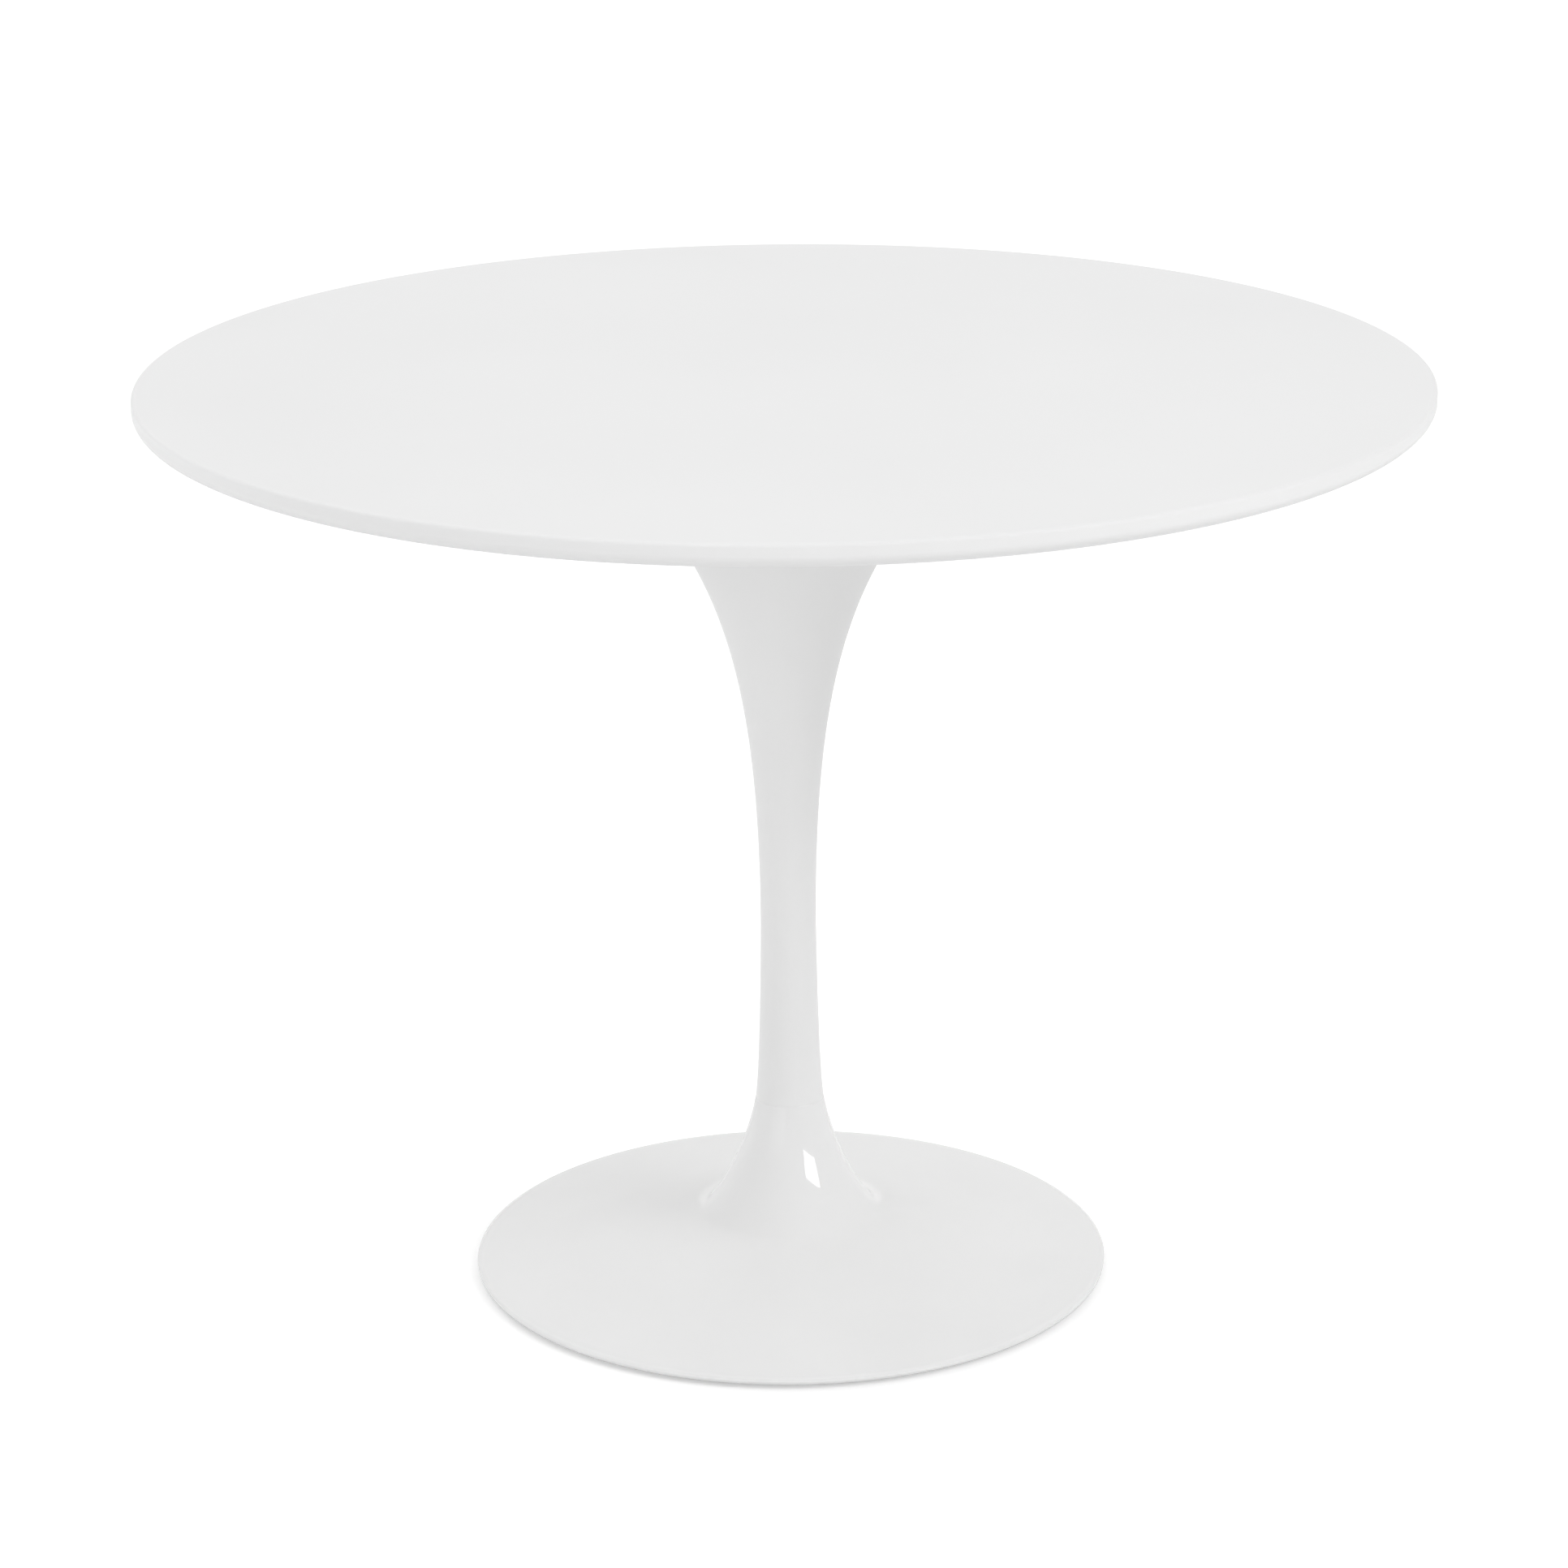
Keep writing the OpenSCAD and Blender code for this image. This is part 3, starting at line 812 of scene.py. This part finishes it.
for number, middle in enumerate(pad_middles, start=1):
    body, stud_node, pad_node = f"glide_{number}", f"glide_stud_{number}", f"glide_pad_{number}"
    stud_low, stud_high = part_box(stud_node)
    pad_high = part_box(pad_node)[1]

    bar = turned(
        [point(0, stud_low.z), point(flange_r - flange_edge, stud_low.z),
         point(flange_r, stud_low.z + flange_edge), point(flange_r, pad_high.z - flange_edge),
         point(flange_r - flange_edge, pad_high.z), point(stud_r, pad_high.z),
         point(stud_r, stud_high.z - stud_tip), point(stud_r - stud_tip, stud_high.z), point(0, stud_high.z)],
        40,
    )
    bar = threaded(bar, stud_r, stud_pitch, pad_high.z + 2 * stud_pitch, stud_high.z + stud_pitch)
    bmesh.ops.translate(bar, verts=bar.verts, vec=(middle.x, middle.y, 0))
    finished(bar, f"{stud_node}_threaded", body, [stud_node], [zinc_plate])

    pad = turned(
        [point(0, dish_h), point(dish_r, dish_h), point(dish_r + 0.6 * mm, 0), point(sole_r, 0)]
        + arc(point(sole_r, pad_edge), 2 * pad_edge, pad_edge, -80, 0, 5)
        + [point(pad_r, pad_high.z - pad_edge), point(pad_r - pad_edge, pad_high.z),
           point(flange_r + pad_gap, pad_high.z), point(flange_r + pad_gap, stud_low.z), point(0, stud_low.z)],
        4 * pad_flutes,
    )
    for vert in pad.verts:
        if vert.co.xy.length > pad_r - 0.01 * mm:
            flute = 0.5 - 0.5 * math.cos(math.atan2(vert.co.y, vert.co.x) * pad_flutes)
            vert.co.xy *= 1 - flute * flute_depth / pad_r
    bmesh.ops.translate(pad, verts=pad.verts, vec=(middle.x, middle.y, 0))
    finished(pad, f"{pad_node}_fluted", body, [pad_node], [pad_nylon])


# ----------------------------------------------------------------------------------------------------------
# Studio: a plain pale floor that runs out of sight, a white room that glows softly on a few sides, a window
# of light, and a low lamp that shows the foot's underside when the table is looked at from below.

floor_size = 40
# How white the floor is to the light that it throws back, and to the camera, which also sees it glow a little.
floor_white, seen_white, seen_glow = 0.8, 0.6, 0.45
floor_shape = bmesh.new()
bmesh.ops.create_grid(floor_shape, x_segments=1, y_segments=1, size=floor_size / 2)
floor_mesh = bpy.data.meshes.new("floor")
floor_shape.to_mesh(floor_mesh)
floor_shape.free()
floor = bpy.data.objects.new("floor", floor_mesh)
bpy.context.scene.collection.objects.link(floor)
floor_material, floor_tree, floor_shader = new_material("studio_floor", Roughness=0.9)
seen = add_node(floor_tree, "ShaderNodeLightPath").outputs["Is Camera Ray"]
floor_colour = add_node(floor_tree, "ShaderNodeMix", {"Factor": seen}, data_type="RGBA")
floor_colour.inputs["A"].default_value = (floor_white, floor_white, floor_white, 1)
floor_colour.inputs["B"].default_value = (seen_white, seen_white, seen_white, 1)
floor_tree.links.new(floor_colour.outputs["Result"], floor_shader.inputs["Base Color"])
glow = add_node(floor_tree, "ShaderNodeMath", {0: seen, 1: seen_glow}, operation="MULTIPLY")
floor_shader.inputs["Emission Color"].default_value = (1, 1, 1, 1)
floor_tree.links.new(glow.outputs["Value"], floor_shader.inputs["Emission Strength"])
# Seen from below, the floor is clear, so that it doesn't hide the foot's underside.
behind = add_node(floor_tree, "ShaderNodeNewGeometry").outputs["Backfacing"]
clear = add_node(floor_tree, "ShaderNodeBsdfTransparent")
two_sides = add_node(floor_tree, "ShaderNodeMixShader", {"Fac": behind})
floor_tree.links.new(floor_shader.outputs["BSDF"], two_sides.inputs[1])
floor_tree.links.new(clear.outputs["BSDF"], two_sides.inputs[2])
floor_tree.links.new(two_sides.outputs["Shader"], floor_tree.nodes["Material Output"].inputs["Surface"])
floor_mesh.materials.append(floor_material)


def direction(azimuth, elevation):
    """The way from the table to a place in the room. Azimuth 0 is the camera's side, and 90 is its right."""
    turn, rise = math.radians(azimuth), math.radians(elevation)
    return Vector((math.sin(turn) * math.cos(rise), -math.cos(turn) * math.cos(rise), math.sin(rise)))


world = bpy.data.worlds.new("studio_world")
bpy.context.scene.world = world
world.use_nodes = True
room, room_light = world.node_tree, 0
looking = add_node(room, "ShaderNodeTexCoord").outputs["Generated"]
# Each glow has an azimuth and an elevation, how tight it is, and its strength.
glows = [(60, 12, 2, 0.25), (180, 12, 2, 0.68), (240, 12, 2, 0.47), (180, 50, 3, 0.74), (270, 50, 3, 0.74),
         (285, 3, 14, 0.44), (315, 3, 14, 3.5), (60, 38, 14, 4.2)]
for azimuth, elevation, tightness, strength in glows:
    facing = add_node(
        room, "ShaderNodeVectorMath", {0: looking, 1: direction(azimuth, elevation)}, operation="DOT_PRODUCT"
    )
    front = add_node(room, "ShaderNodeMath", {0: facing.outputs["Value"], 1: 0}, operation="MAXIMUM")
    shaped = add_node(room, "ShaderNodeMath", {0: front.outputs["Value"], 1: tightness}, operation="POWER")
    summed = add_node(
        room, "ShaderNodeMath", {0: shaped.outputs["Value"], 1: strength, 2: room_light},
        operation="MULTIPLY_ADD",
    )
    room_light = summed.outputs["Value"]
glowing = room.nodes["Background"]
glowing.inputs["Color"].default_value = (1, 1, 1, 1)
room.links.new(room_light, glowing.inputs["Strength"])
# What mirrors the room, and the camera itself, see it as an even white.
room_view = glowing.outputs["Background"]
for ray, brightness in (("Is Glossy Ray", 0.75), ("Is Camera Ray", 1)):
    even = add_node(room, "ShaderNodeBackground", {"Color": (1, 1, 1, 1), "Strength": brightness})
    path = add_node(room, "ShaderNodeLightPath")
    mixed = add_node(
        room, "ShaderNodeMixShader", {"Fac": path.outputs[ray], 1: room_view, 2: even.outputs["Background"]}
    )
    room_view = mixed.outputs["Shader"]
room.links.new(room_view, room.nodes["World Output"].inputs["Surface"])


foot_middle_z = 0.08
window_azimuth, window_elevation = 45.7, 20.3


def soft_light(name, azimuth, elevation, distance, size, power, shape="RECTANGLE"):
    """A soft light that faces the foot's middle."""
    light = bpy.data.lights.new(name, "AREA")
    light.shape, light.size, light.size_y = shape, size[0], size[1]
    light.energy = power
    lamp = bpy.data.objects.new(name, light)
    bpy.context.scene.collection.objects.link(lamp)
    way = direction(azimuth, elevation)
    lamp.location = way * distance + Vector((0, 0, foot_middle_z))
    lamp.rotation_euler = way.to_track_quat("Z", "Y").to_euler()
    return lamp


window_fill = soft_light("window_fill", window_azimuth, window_elevation, 3.2, (1.13, 0.54), 8.6)
window_fill.visible_glossy = False
# The low lamp lies half a millimetre above the floor and faces up.
soft_light("underside_light", 0, -90, foot_middle_z - 0.5 * mm, (0.45, 0.45), 0.32, "ELLIPSE")
# Only the foot's enamel is glossy enough to show the window and the strip as shapes of their own.
glinting = bpy.data.collections.new("glinting_pieces")
glinting.objects.link(enamelled_foot)
window_glint = soft_light("window_glint", window_azimuth, window_elevation, 3, (1.3, 0.5), 18)
strip_glint = soft_light("strip_glint", -33, 8, 3, (2, 0.9), 3)
for lamp in (window_glint, strip_glint):
    lamp.visible_diffuse = False
    lamp.light_linking.receiver_collection = glinting

# The camera stands in front of the table, a little above it, and looks down on the top and the foot.
camera_place = Vector((0, -3.6446, 1.5889))
camera_down, camera_aside, camera_roll = 17.976, 0.0406, -0.469
camera_data = bpy.data.cameras.new("camera")
camera_data.sensor_width = 36
camera_data.lens = 111.07
camera_data.clip_end = 100
camera = bpy.data.objects.new("camera", camera_data)
bpy.context.scene.collection.objects.link(camera)
camera.matrix_world = (
    Matrix.Translation(camera_place)
    @ Matrix.Rotation(math.radians(camera_aside), 4, "Z")
    @ Matrix.Rotation(math.radians(90 - camera_down), 4, "X")
    @ Matrix.Rotation(math.radians(camera_roll), 4, "Z")
)
bpy.context.scene.camera = camera
bpy.context.scene.view_settings.view_transform = "Standard"
